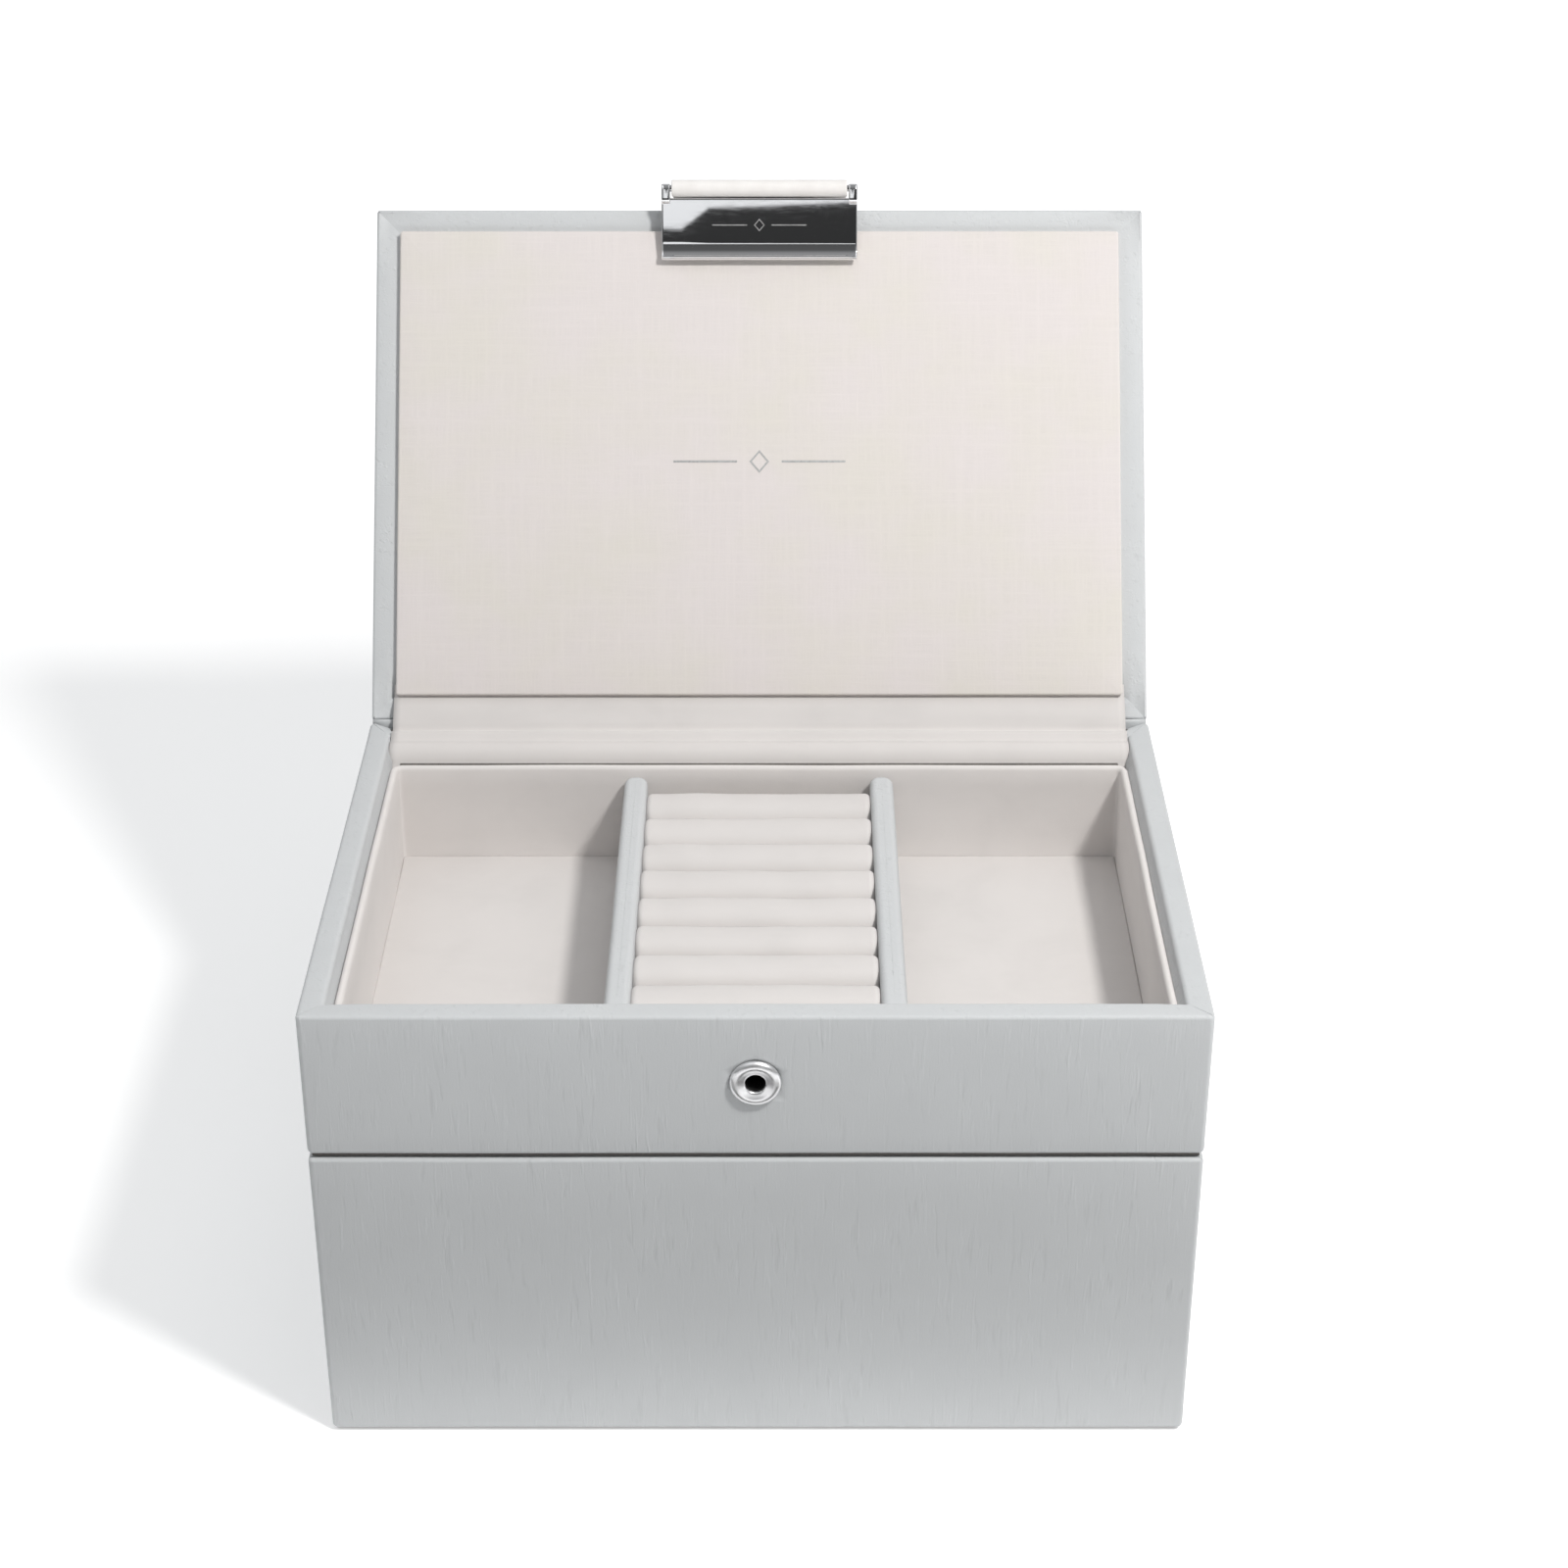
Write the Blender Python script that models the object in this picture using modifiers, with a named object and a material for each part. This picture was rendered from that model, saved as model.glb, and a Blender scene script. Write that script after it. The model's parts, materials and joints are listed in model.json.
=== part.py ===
"""Stacking jewellery case: a deep tray, a lift-off top tray with a hinged lid,
and a press-stud clasp on the lid's front edge.

Units are metres and +Z is up. +X is the right-hand side and -Y the front. The
origin is the centre of the underside. The lid stands open, against its lining.
"""
import math

import bmesh
import bpy
from mathutils import Matrix, Vector

MM = 0.001

# Driving dimensions -------------------------------------------------------
WIDTH = 180 * MM
DEPTH = 120 * MM
RIM_Z = 105.5 * MM            # top of the top tray's walls
SEAM_Z = 71.3 * MM            # middle of the seam between the trays
SEAM_GAP = 0.4 * MM
FOOT_GAP = 0.5 * MM           # the felt stands this much below the walls
GAP = 0.3 * MM                # between pieces that touch

LEATHER = 0.6 * MM            # covering, on both faces of every wall
WALL_BOARD = 3.5 * MM
HEM = 14 * MM                 # covering turned down inside a tray
BASE_BOARD = 2.5 * MM
FELT = 2.0 * MM
CORNER = 1.2 * MM
PAD_EDGE = 1.0 * MM

LINER = 1.7 * MM              # velvet-covered card
LINER_SIDE = 8.1 * MM         # outer face of the case to the liner's inner face
LINER_REAR = 16 * MM          # the same at the back of the top tray
LINER_FLOOR = 1.0 * MM
TOP_LINER_DROP = 1.8 * MM     # liner's top edge below the rim
LOW_LINER_DROP = 4.2 * MM
FLOOR_DROP = 25.5 * MM        # top tray's pad surface below its rim
LOW_FLOOR_Z = 9.0 * MM        # deep tray's pad surface
PLINTH_DROP = 2.2 * MM        # locating board below the top tray's walls
SPACER_DROP = 3.6 * MM        # board behind the top liner, below the rim

DIVIDER_X = 27.8 * MM
DIVIDER = 4.8 * MM
DIVIDER_DROP = 4.5 * MM
DIVIDER_EDGE = 1.3 * MM
ROLLS = 8
ROLL_PITCH = 11.14 * MM
ROLL_R = 5.4 * MM
ROLL_DROP = 5.4 * MM
ROLL_FRONT = 16.7 * MM        # front of the case to the first roll's axis
ROLL_END = 0.8 * MM

LID_OPEN = math.radians(122)
LID_GAP = 0.5 * MM            # between the rim and the closed lid
LID_INSET = 0.2 * MM
LID_THICK = 12 * MM
LID_TOP_BOARD = 2.4 * MM
PANEL_X = 84.1 * MM           # half width of the lid's inner panel
PANEL_FRONT = 5.6 * MM        # front of the case to the panel
PANEL_REAR = 5.5 * MM
PANEL_PROUD = 1.5 * MM
PANEL_THICK = 2.1 * MM
PANEL_EDGE = 0.4 * MM
PANEL_BOARD = 2.0 * MM
LINING = 0.5 * MM
LINING_X = 84.0 * MM
LINING_DROP = 1.3 * MM        # rim to the top of the lining on the rear wall
LINING_TUCK = 9.0 * MM        # lining turned down behind the top liner
LINING_GAP = 0.1 * MM         # lid's underside to the lining on it
SPINE = 0.7 * MM
SPINE_X = 88.0 * MM
SPINE_RUN = 9.0 * MM
HINGE_FREE = 1.0 * MM         # bare length on each side of the hinge line

STRAP_X = 20.4 * MM           # half width
STRAP = 0.9 * MM
STRAP_CHORD = 12.34 * MM      # slot to bar
STRAP_ANGLE = math.radians(72.5)    # of that chord, from straight out of the lid
PRESS = math.radians(5.0)     # the strap's travel into the press stud
BAR_R = 0.8 * MM
LOOP_CLEARANCE = 0.25 * MM
PLATE_X = 22.8 * MM
PLATE = 1.2 * MM
PLATE_TOP = 2.3 * MM          # bar to the plate's top edge
PLATE_FACE = 12.0 * MM
PLATE_SET_BACK = 0.2 * MM
LIP_R = 2.6 * MM
LIP_TURN = math.radians(50)
EAR = 2.0 * MM
EAR_DEPTH = 2.8 * MM
EAR_RISE = 1.4 * MM
EAR_FOOT = 1.5 * MM           # its overlap with the plate
EAR_EDGE = 0.6 * MM
PLATE_REST = math.radians(98)       # the plate's turn from hanging to its rest
STUD_DROP = 9.8 * MM
STUD_R = 1.4 * MM
STUD_LENGTH = 0.9 * MM
STUD_NECK = 0.2 * MM         # the neck's step in from the head

RING_R = 5.15 * MM
RING_HOLE_R = 2.05 * MM
RING_PROUD = 1.2 * MM
RING_CREST_R = 3.95 * MM
CREST = 0.4 * MM              # width of the ring's crest
RING_DISH = 0.5 * MM          # depth of metal at the hole
SOCKET_R = 2.9 * MM
SOCKET_BORE_R = 2.1 * MM
SOCKET_BACK = 0.8 * MM
WASHER_R = 4.6 * MM
WASHER = 0.5 * MM
WALL_BORE_R = 3.3 * MM

# Derived places -----------------------------------------------------------
HALF_X = WIDTH / 2
FRONT_Y = -DEPTH / 2
REAR_Y = DEPTH / 2
BOARD_OUT = LEATHER + GAP           # outer face of the case to the wall board
BOARD_IN = BOARD_OUT + WALL_BOARD
CORE = BOARD_IN + GAP               # and to the boards between the walls
RIM = CORE + LEATHER
LOW_TOP_Z = SEAM_Z - SEAM_GAP / 2
TOP_BASE_Z = SEAM_Z + SEAM_GAP / 2
LINER_X = HALF_X - LINER_SIDE
LINER_FRONT_Y = FRONT_Y + LINER_SIDE
TOP_LINER_REAR_Y = REAR_Y - LINER_REAR
FLOOR_Z = RIM_Z - FLOOR_DROP
LID_Z = RIM_Z + LID_GAP
LID_TOP_Z = LID_Z + LID_THICK
LID_X = HALF_X - LID_INSET
LID_FRONT_Y = FRONT_Y + LID_INSET
LID_REAR_Y = REAR_Y - LID_INSET
SPINE_Y = REAR_Y + GAP + SPINE / 2
HINGE = Vector((0, SPINE_Y, RIM_Z + LID_GAP / 2))
SLOT = Vector((0, LID_FRONT_Y, LID_Z + LID_THICK / 2))
BAR = SLOT + Vector((0, -math.cos(STRAP_ANGLE), -math.sin(STRAP_ANGLE))) * STRAP_CHORD
LOOP_HOLE_R = BAR_R + LOOP_CLEARANCE
LOOP_R = LOOP_HOLE_R + STRAP
RING_Z = SLOT.z - STRAP_CHORD * math.sin(STRAP_ANGLE + PRESS) - STUD_DROP
LINING_TOP_Z = RIM_Z - LINING_DROP
NOTCH_Z = LINING_TOP_Z - LINING - GAP
REACH = 5 * MM                # how far a cutter runs past what it cuts

# Colour, roughness and metallic of each material
FINISHES = {
    "leatherette": ((0.52, 0.56, 0.58), 0.55, 0.0),
    "velvet": ((0.72, 0.69, 0.66), 0.95, 0.0),
    "linen": ((0.70, 0.65, 0.61), 0.9, 0.0),
    "board": ((0.42, 0.33, 0.24), 0.85, 0.0),
    "foam": ((0.82, 0.80, 0.74), 0.95, 0.0),
    "felt": ((0.30, 0.31, 0.33), 0.95, 0.0),
    "strap_leather": ((0.78, 0.76, 0.73), 0.6, 0.0),
    "chrome": ((0.80, 0.80, 0.82), 0.08, 1.0),
}


# Helpers ------------------------------------------------------------------
def clear_scene():
    for old in list(bpy.data.objects):
        bpy.data.objects.remove(old, do_unlink=True)


def new_collection(name):
    collection = bpy.data.collections.new(name)
    bpy.context.scene.collection.children.link(collection)
    return collection


def make_materials():
    made = {}
    for name, (colour, roughness, metallic) in FINISHES.items():
        material = bpy.data.materials.new(name)
        material.use_nodes = True
        shader = material.node_tree.nodes["Principled BSDF"]
        shader.inputs["Base Color"].default_value = (*colour, 1.0)
        shader.inputs["Roughness"].default_value = roughness
        shader.inputs["Metallic"].default_value = metallic
        made[name] = material
    return made


class Space:
    """A moving piece's own space: pieces are given at its closed place, and
    its empty, on the joint's axis, turns them to where they rest."""

    def __init__(self, name, origin, turn=0.0, parent=None):
        self.origin = Vector(origin)
        self.empty = bpy.data.objects.new(name, None)
        self.empty.empty_display_size = 0.02
        self.empty.rotation_euler = (turn, 0, 0)
        self.empty.location = self.origin
        if parent:
            self.empty.parent = parent.empty
            self.empty.location = self.origin - parent.origin
        PARTS.objects.link(self.empty)


def place(name, mesh, finish, centre, space=None, cutter=False):
    """Put a mesh in the model as a named piece, or as a cutter."""
    piece = bpy.data.objects.new(name, mesh)
    piece.location = Vector(centre)
    if space:
        piece.parent = space.empty
        piece.location = Vector(centre) - space.origin
    if cutter:
        piece.hide_render = True
        piece.display_type = "WIRE"
        CUTTERS.objects.link(piece)
    else:
        mesh.materials.append(MATERIALS[finish])
        PARTS.objects.link(piece)
    return piece


def box(name, low, high, finish=None, space=None, bevel=0.0, segments=2, cutter=False):
    """A box between two corners, with rounded edges where bevel is given."""
    low = Vector(low)
    high = Vector(high)
    size = high - low
    built = bmesh.new()
    bmesh.ops.create_cube(built, size=1.0, matrix=Matrix.Diagonal((*size, 1.0)))
    mesh = bpy.data.meshes.new(name)
    built.to_mesh(mesh)
    built.free()
    piece = place(name, mesh, finish, (low + high) / 2, space, cutter)
    if bevel:
        rounding = piece.modifiers.new("rounded_edges", "BEVEL")
        rounding.width = bevel
        rounding.segments = segments
    return piece


def cylinder(name, centre, radius, length, finish=None, space=None, axis="X",
             segments=24, cutter=False):
    """A cylinder about an axis through its centre."""
    built = bmesh.new()
    turn = Matrix.Rotation(math.pi / 2, 4, "Y" if axis == "X" else "X")
    bmesh.ops.create_cone(built, cap_ends=True, segments=segments, radius1=radius,
                          radius2=radius, depth=length, matrix=turn)
    mesh = bpy.data.meshes.new(name)
    built.to_mesh(mesh)
    built.free()
    smooth(mesh)
    return place(name, mesh, finish, centre, space, cutter)


def smooth(mesh):
    mesh.shade_smooth()
    mesh.set_sharp_from_angle(angle=math.radians(35))


def combine(piece, other, operation="DIFFERENCE"):
    """Cut one solid from a piece, or join it on."""
    step = piece.modifiers.new(other.name, "BOOLEAN")
    step.operation = operation
    step.solver = "EXACT"
    step.object = other
    return piece


def cut_box(piece, low, high, space=None):
    cutter = box(piece.name + "_cut", low, high, space=space, cutter=True)
    return combine(piece, cutter)


def turned(name, profile, finish, centre, space=None, steps=32):
    """A turned piece whose axis lies along Y. The profile is (radius, depth)
    pairs, and depth runs from the back of the piece to its front."""
    mesh = bpy.data.meshes.new(name)
    built = bmesh.new()
    points = [built.verts.new((radius, 0, depth)) for radius, depth in profile]
    for start, end in zip(points, points[1:]):
        built.edges.new((start, end))
    if profile[0][0] > 0:
        built.edges.new((points[-1], points[0]))
    built.to_mesh(mesh)
    built.free()
    piece = place(name, mesh, finish, centre, space)
    piece.rotation_euler = (math.pi / 2, 0, 0)
    screw = piece.modifiers.new("turned", "SCREW")
    screw.axis = "Z"
    screw.steps = steps
    screw.render_steps = steps
    screw.use_merge_vertices = True
    screw.merge_threshold = 0.00001
    screw.use_smooth_shade = True
    return piece


def bent_sheet(name, path, half_x, thickness, finish, centre, space=None):
    """A sheet of even thickness along a path of (y, z) pairs."""
    built = bmesh.new()
    bmesh.ops.create_grid(built, x_segments=1, y_segments=len(path) - 1, size=1.0)
    rows = sorted(built.verts, key=lambda point: point.co.y)
    for row, point in enumerate(rows):
        side = half_x if point.co.x > 0 else -half_x
        point.co = Vector((side, *path[row // 2]))
    mesh = bpy.data.meshes.new(name)
    built.to_mesh(mesh)
    built.free()
    smooth(mesh)
    sheet = place(name, mesh, finish, centre, space)
    solidify = sheet.modifiers.new("thickness", "SOLIDIFY")
    solidify.thickness = thickness
    solidify.offset = 0.0
    return sheet


def inset_box(inset, low_z, high_z):
    """Two corners of the case's outline, drawn in by an inset."""
    return ((-HALF_X + inset, FRONT_Y + inset, low_z), (HALF_X - inset, REAR_Y - inset, high_z))


# Trays --------------------------------------------------------------------
def tray_walls(prefix, low_z, high_z):
    """A board frame and the leatherette that wraps its outside, rim and hem."""
    frame = box(prefix + "_frame", *inset_box(BOARD_OUT, low_z, high_z - BOARD_OUT), "board")
    cut_box(frame, *inset_box(BOARD_IN, low_z - REACH, high_z + REACH))

    wrap = box(prefix + "_wrap", *inset_box(0, low_z, high_z), "leatherette", bevel=CORNER, segments=3)
    slot = box(prefix + "_wrap_slot", *inset_box(LEATHER, low_z - REACH, high_z - LEATHER), cutter=True)
    cut_box(slot, *inset_box(CORE, low_z - 2 * REACH, high_z))
    combine(wrap, slot)
    cut_box(wrap, *inset_box(RIM, low_z - REACH, high_z + REACH))
    cut_box(wrap, *inset_box(CORE - GAP / 2, low_z - REACH, high_z - HEM))
    return frame, wrap


def tray_base(prefix, board_z, under_name, under_finish, under_inset, under_low_z):
    """The base board inside the walls, and the layer under it."""
    box(prefix + "_base_board", *inset_box(CORE, board_z, board_z + BASE_BOARD), "board")
    box(under_name, *inset_box(under_inset, under_low_z, board_z - GAP), under_finish,
        bevel=GAP, segments=1)


def liner(name, rear_y, floor_z, top_z):
    """The velvet-covered card box that drops into a tray."""
    shell = box(name, (-LINER_X - LINER, LINER_FRONT_Y - LINER, floor_z),
                (LINER_X + LINER, rear_y + LINER, top_z), "velvet")
    return cut_box(shell, (-LINER_X, LINER_FRONT_Y, floor_z + LINER_FLOOR),
                   (LINER_X, rear_y, top_z + REACH))


def deep_tray():
    tray_walls("lower", FOOT_GAP, LOW_TOP_Z)
    board_z = FELT + GAP
    tray_base("lower", board_z, "lower_base_felt", "felt", CORE, 0.0)
    floor_z = board_z + BASE_BOARD + GAP
    rear_y = REAR_Y - LINER_SIDE
    liner("lower_liner", rear_y, floor_z, LOW_TOP_Z - LOW_LINER_DROP)
    box("lower_floor_pad", (-LINER_X + GAP, LINER_FRONT_Y + GAP, floor_z + LINER_FLOOR + GAP),
        (LINER_X - GAP, rear_y - GAP, LOW_FLOOR_Z), "velvet", bevel=PAD_EDGE)


def top_tray():
    frame, wrap = tray_walls("upper", TOP_BASE_Z, RIM_Z)
    for wall in (frame, wrap):
        # The hinge lining lies in this step in the rear wall's top.
        cut_box(wall, (-LINING_X - GAP, REAR_Y - RIM - REACH, NOTCH_Z),
                (LINING_X + GAP, REAR_Y - LEATHER, RIM_Z + REACH))
        bore = cylinder(wall.name + "_bore", (0, FRONT_Y, RING_Z), WALL_BORE_R, 6 * RIM,
                        axis="Y", cutter=True)
        combine(wall, bore)
    board_z = TOP_BASE_Z + GAP
    tray_base("upper", board_z, "upper_plinth", "board", RIM + GAP, TOP_BASE_Z - PLINTH_DROP)
    floor_z = board_z + BASE_BOARD + GAP
    liner("upper_liner", TOP_LINER_REAR_Y, floor_z, RIM_Z - TOP_LINER_DROP)
    compartments(floor_z + LINER_FLOOR + GAP)
    spacer_y = TOP_LINER_REAR_Y + LINER + GAP + LINING + GAP
    box("rear_spacer", (-LINER_X, spacer_y, floor_z), (LINER_X, REAR_Y - RIM - GAP, RIM_Z - SPACER_DROP),
        "board")
    popper()


def compartments(floor_z):
    """Two dividers, a pad on each side of them, and the ring pad between."""
    front_y = LINER_FRONT_Y + GAP
    rear_y = TOP_LINER_REAR_Y - GAP
    for side, name in ((-1, "left"), (1, "right")):
        divider = box("divider_" + name, (side * DIVIDER_X - DIVIDER / 2, front_y, floor_z),
                      (side * DIVIDER_X + DIVIDER / 2, rear_y, RIM_Z - DIVIDER_DROP), "leatherette")
        round_top(divider)
        pad_edges = sorted((side * (DIVIDER_X + DIVIDER / 2 + GAP), side * (LINER_X - GAP)))
        box("floor_pad_" + name, (pad_edges[0], front_y, floor_z), (pad_edges[1], rear_y, FLOOR_Z),
            "velvet", bevel=PAD_EDGE)
    half = DIVIDER_X - DIVIDER / 2 - GAP
    roll_z = RIM_Z - ROLL_DROP - ROLL_R
    box("ring_pad_base", (-half, front_y, floor_z), (half, rear_y, roll_z - ROLL_R - GAP), "foam")
    for index in range(ROLLS):
        roll_y = FRONT_Y + ROLL_FRONT + index * ROLL_PITCH
        roll = cylinder(f"ring_roll_{index + 1}", (0, roll_y, roll_z), ROLL_R, 2 * half, "velvet",
                        segments=20)
        rounding = roll.modifiers.new("rounded_ends", "BEVEL")
        rounding.width = ROLL_END
        rounding.segments = 2
        rounding.limit_method = "ANGLE"
        rounding.angle_limit = math.radians(60)


def round_top(divider):
    """Round the divider's two long top edges."""
    mesh = divider.data
    weight = mesh.attributes.new("bevel_weight_edge", "FLOAT", "EDGE")
    for edge in mesh.edges:
        ends = [mesh.vertices[index].co for index in edge.vertices]
        along = abs(ends[0].y - ends[1].y) > DIVIDER
        weight.data[edge.index].value = float(along and ends[0].z > 0 and ends[1].z > 0)
    crest = divider.modifiers.new("round_top", "BEVEL")
    crest.limit_method = "WEIGHT"
    crest.width = DIVIDER_EDGE
    crest.segments = 4


def popper():
    """The press stud's ring, spring cup and back washer in the front wall."""
    crest = (RING_CREST_R - CREST / 2, RING_CREST_R + CREST / 2)
    ring = [(RING_R, 2 * GAP), (RING_R, GAP), (RING_HOLE_R, GAP), (RING_HOLE_R, RING_DISH),
            (crest[0] - RING_DISH, RING_DISH + GAP), (crest[0], RING_PROUD), (crest[1], RING_PROUD),
            (RING_R - CREST, RING_DISH + GAP)]
    turned("popper_ring", ring, "chrome", (0, FRONT_Y, RING_Z))
    cup_front = -GAP / 2
    cup_floor = SOCKET_BACK - RIM
    cup = [(0, cup_floor), (SOCKET_BORE_R, cup_floor), (SOCKET_BORE_R, cup_front),
           (SOCKET_R, cup_front), (SOCKET_R, -RIM), (0, -RIM)]
    turned("popper_socket", cup, "chrome", (0, FRONT_Y, RING_Z), steps=24)
    washer_y = FRONT_Y + RIM + GAP + WASHER / 2
    cylinder("popper_washer", (0, washer_y, RING_Z), WASHER_R, WASHER, "chrome", axis="Y")


# Hinge --------------------------------------------------------------------
def tray_side_of_hinge():
    """The spine strip on the rear wall and the lining over its top."""
    box("hinge_spine_tray", (-SPINE_X, SPINE_Y - SPINE / 2, HINGE.z - HINGE_FREE - SPINE_RUN),
        (SPINE_X, SPINE_Y + SPINE / 2, HINGE.z - HINGE_FREE), "leatherette")
    tuck_y = TOP_LINER_REAR_Y + LINER + GAP + LINING / 2
    level = LINING_TOP_Z - LINING / 2
    path = [(tuck_y, level - LINING_TUCK), (tuck_y, level), (REAR_Y - BOARD_OUT, level)]
    bent_sheet("hinge_lining_tray", path, LINING_X, LINING, "velvet", (0, 0, 0))


def lid_side_of_hinge(space):
    box("hinge_spine_lid", (-SPINE_X, SPINE_Y - SPINE / 2, HINGE.z + HINGE_FREE),
        (SPINE_X, SPINE_Y + SPINE / 2, HINGE.z + HINGE_FREE + SPINE_RUN), "leatherette", space)
    box("hinge_lining_lid", (-LINING_X, REAR_Y - PANEL_REAR + GAP, LID_Z + LINING_GAP),
        (LINING_X, LID_REAR_Y - BOARD_OUT, LID_Z + LINING_GAP + LINING), "velvet", space)


# Lid ----------------------------------------------------------------------
def lid_box(inset, low_z, high_z):
    return ((-LID_X + inset, LID_FRONT_Y + inset, low_z), (LID_X - inset, LID_REAR_Y - inset, high_z))


def lid(space):
    top_board_z = LID_TOP_Z - BOARD_OUT - LID_TOP_BOARD
    box("lid_top_board", *lid_box(BOARD_OUT, top_board_z, LID_TOP_Z - BOARD_OUT), "board", space)
    frame = box("lid_frame", *lid_box(BOARD_OUT, LID_Z + BOARD_OUT, top_board_z - GAP), "board", space)
    cut_box(frame, *lid_box(BOARD_IN, LID_Z - REACH, LID_TOP_Z + REACH), space)

    wrap = box("lid_wrap", *lid_box(0, LID_Z, LID_TOP_Z), "leatherette", space, bevel=CORNER, segments=3)
    cut_box(wrap, *lid_box(LEATHER, LID_Z + LEATHER, LID_TOP_Z - LEATHER), space)
    cut_box(wrap, *lid_box(RIM - LID_INSET, LID_Z - REACH, LID_TOP_Z - 2 * LEATHER), space)

    # The step that the hinge lining lies in, and the slot for the strap.
    step_low = (-LINING_X - GAP, REAR_Y - RIM - REACH, LID_Z - REACH)
    step_high = (LINING_X + GAP, LID_REAR_Y - LEATHER, LID_Z + LINING_GAP + LINING + GAP)
    slot = Vector((STRAP_X + GAP, REACH, STRAP))
    for wall in (frame, wrap):
        cut_box(wall, step_low, step_high, space)
        cut_box(wall, SLOT - slot, SLOT + slot, space)

    panel_low_z = LID_Z - PANEL_PROUD
    panel_top_z = panel_low_z + PANEL_THICK
    panel_front = FRONT_Y + PANEL_FRONT
    panel_rear = REAR_Y - PANEL_REAR
    box("lid_inner_panel", (-PANEL_X, panel_front, panel_low_z), (PANEL_X, panel_rear, panel_top_z),
        "linen", space, bevel=PANEL_EDGE)
    board_low_z = step_high[2] + GAP
    box("lid_panel_board", *lid_box(CORE, board_low_z, board_low_z + PANEL_BOARD), "board", space)
    box("lid_foam", *lid_box(CORE, board_low_z + PANEL_BOARD + GAP, top_board_z - GAP), "foam", space)
    box("strap_tail", SLOT + Vector((-STRAP_X, GAP, -STRAP / 2)),
        SLOT + Vector((STRAP_X, BOARD_IN, STRAP / 2)), "strap_leather", space)
    lid_side_of_hinge(space)


# Clasp --------------------------------------------------------------------
def strap_path():
    """From the lid's slot, out and down to the front of the bar's loop."""
    to_bar = BAR - SLOT
    loop_mid = LOOP_R - STRAP / 2
    end = Vector((to_bar.y - loop_mid, to_bar.z))
    start = Vector((-GAP, 0))
    out = Vector((end.x, 0))
    down = Vector((end.x * 1.08, end.y * 0.45))
    path = []
    for step in range(11):
        t = step / 10
        point = (1 - t) ** 3 * start + 3 * (1 - t) ** 2 * t * out
        point += 3 * (1 - t) * t ** 2 * down + t ** 3 * end
        path.append(tuple(point))
    return path


def strap(space):
    """The leather strap, with the loop that turns round the plate's bar."""
    band = bent_sheet("clasp_strap", strap_path(), STRAP_X, STRAP, "strap_leather", SLOT, space)
    length = 2 * STRAP_X
    loop = cylinder("strap_loop", BAR, LOOP_R, length, space=space, cutter=True)
    hole = cylinder("strap_loop_hole", BAR, LOOP_HOLE_R, length + REACH, space=space, cutter=True)
    combine(band, loop, "UNION")
    combine(band, hole)


def plate_path():
    """Straight down the plate, then round into its finger lip."""
    back = PLATE_SET_BACK
    foot = -PLATE_TOP - PLATE_FACE
    path = [(back, -PLATE_TOP), (back, foot)]
    for step in range(1, 7):
        angle = LIP_TURN * step / 6
        path.append((back - LIP_R * (1 - math.cos(angle)), foot - LIP_R * math.sin(angle)))
    return path


def plate(space):
    """The metal plate on its bar. It is drawn hanging straight down."""
    face = bent_sheet("clasp_plate", plate_path(), PLATE_X, PLATE, "chrome", BAR, space)
    for side in (-1, 1):
        edges = sorted((side * PLATE_X, side * (PLATE_X - EAR)))
        ear = box("plate_ear", BAR + Vector((edges[0], -EAR_DEPTH / 2, -PLATE_TOP - EAR_FOOT)),
                  BAR + Vector((edges[1], EAR_DEPTH / 2, EAR_RISE)), space=space, bevel=EAR_EDGE,
                  cutter=True)
        combine(face, ear, "UNION")
    hole = cylinder("ear_holes", BAR, LOOP_HOLE_R, 3 * PLATE_X, space=space, segments=16, cutter=True)
    combine(face, hole)
    cylinder("clasp_bar", BAR, BAR_R, 2 * PLATE_X - 2 * GAP, "chrome", space, segments=16)
    head = STUD_LENGTH
    neck_r = STUD_R - STUD_NECK
    profile = [(0, head), (neck_r, head), (STUD_R, head - STUD_NECK), (neck_r, head - 2 * STUD_NECK),
               (neck_r, 2 * STUD_NECK), (STUD_R, STUD_NECK), (STUD_R, 0), (0, 0)]
    stud_y = PLATE_SET_BACK + PLATE / 2 + GAP
    stud = turned("clasp_stud", profile, "chrome", BAR + Vector((0, stud_y, -STUD_DROP)), space, steps=20)
    stud.rotation_euler = (-math.pi / 2, 0, 0)


clear_scene()
PARTS = new_collection("jewellery_case")
CUTTERS = new_collection("cutters")
MATERIALS = make_materials()

deep_tray()
top_tray()
tray_side_of_hinge()
lid_space = Space("lid_axis", HINGE, turn=-LID_OPEN)
lid(lid_space)
strap_space = Space("strap_axis", SLOT, parent=lid_space)
strap(strap_space)
plate_space = Space("plate_axis", BAR, turn=PLATE_REST, parent=strap_space)
plate(plate_space)
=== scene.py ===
"""Looks of the stacking jewellery case: wraps, velvet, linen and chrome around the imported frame."""
import json
import math

import bmesh
import bpy
from mathutils import Matrix, Vector, noise


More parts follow.
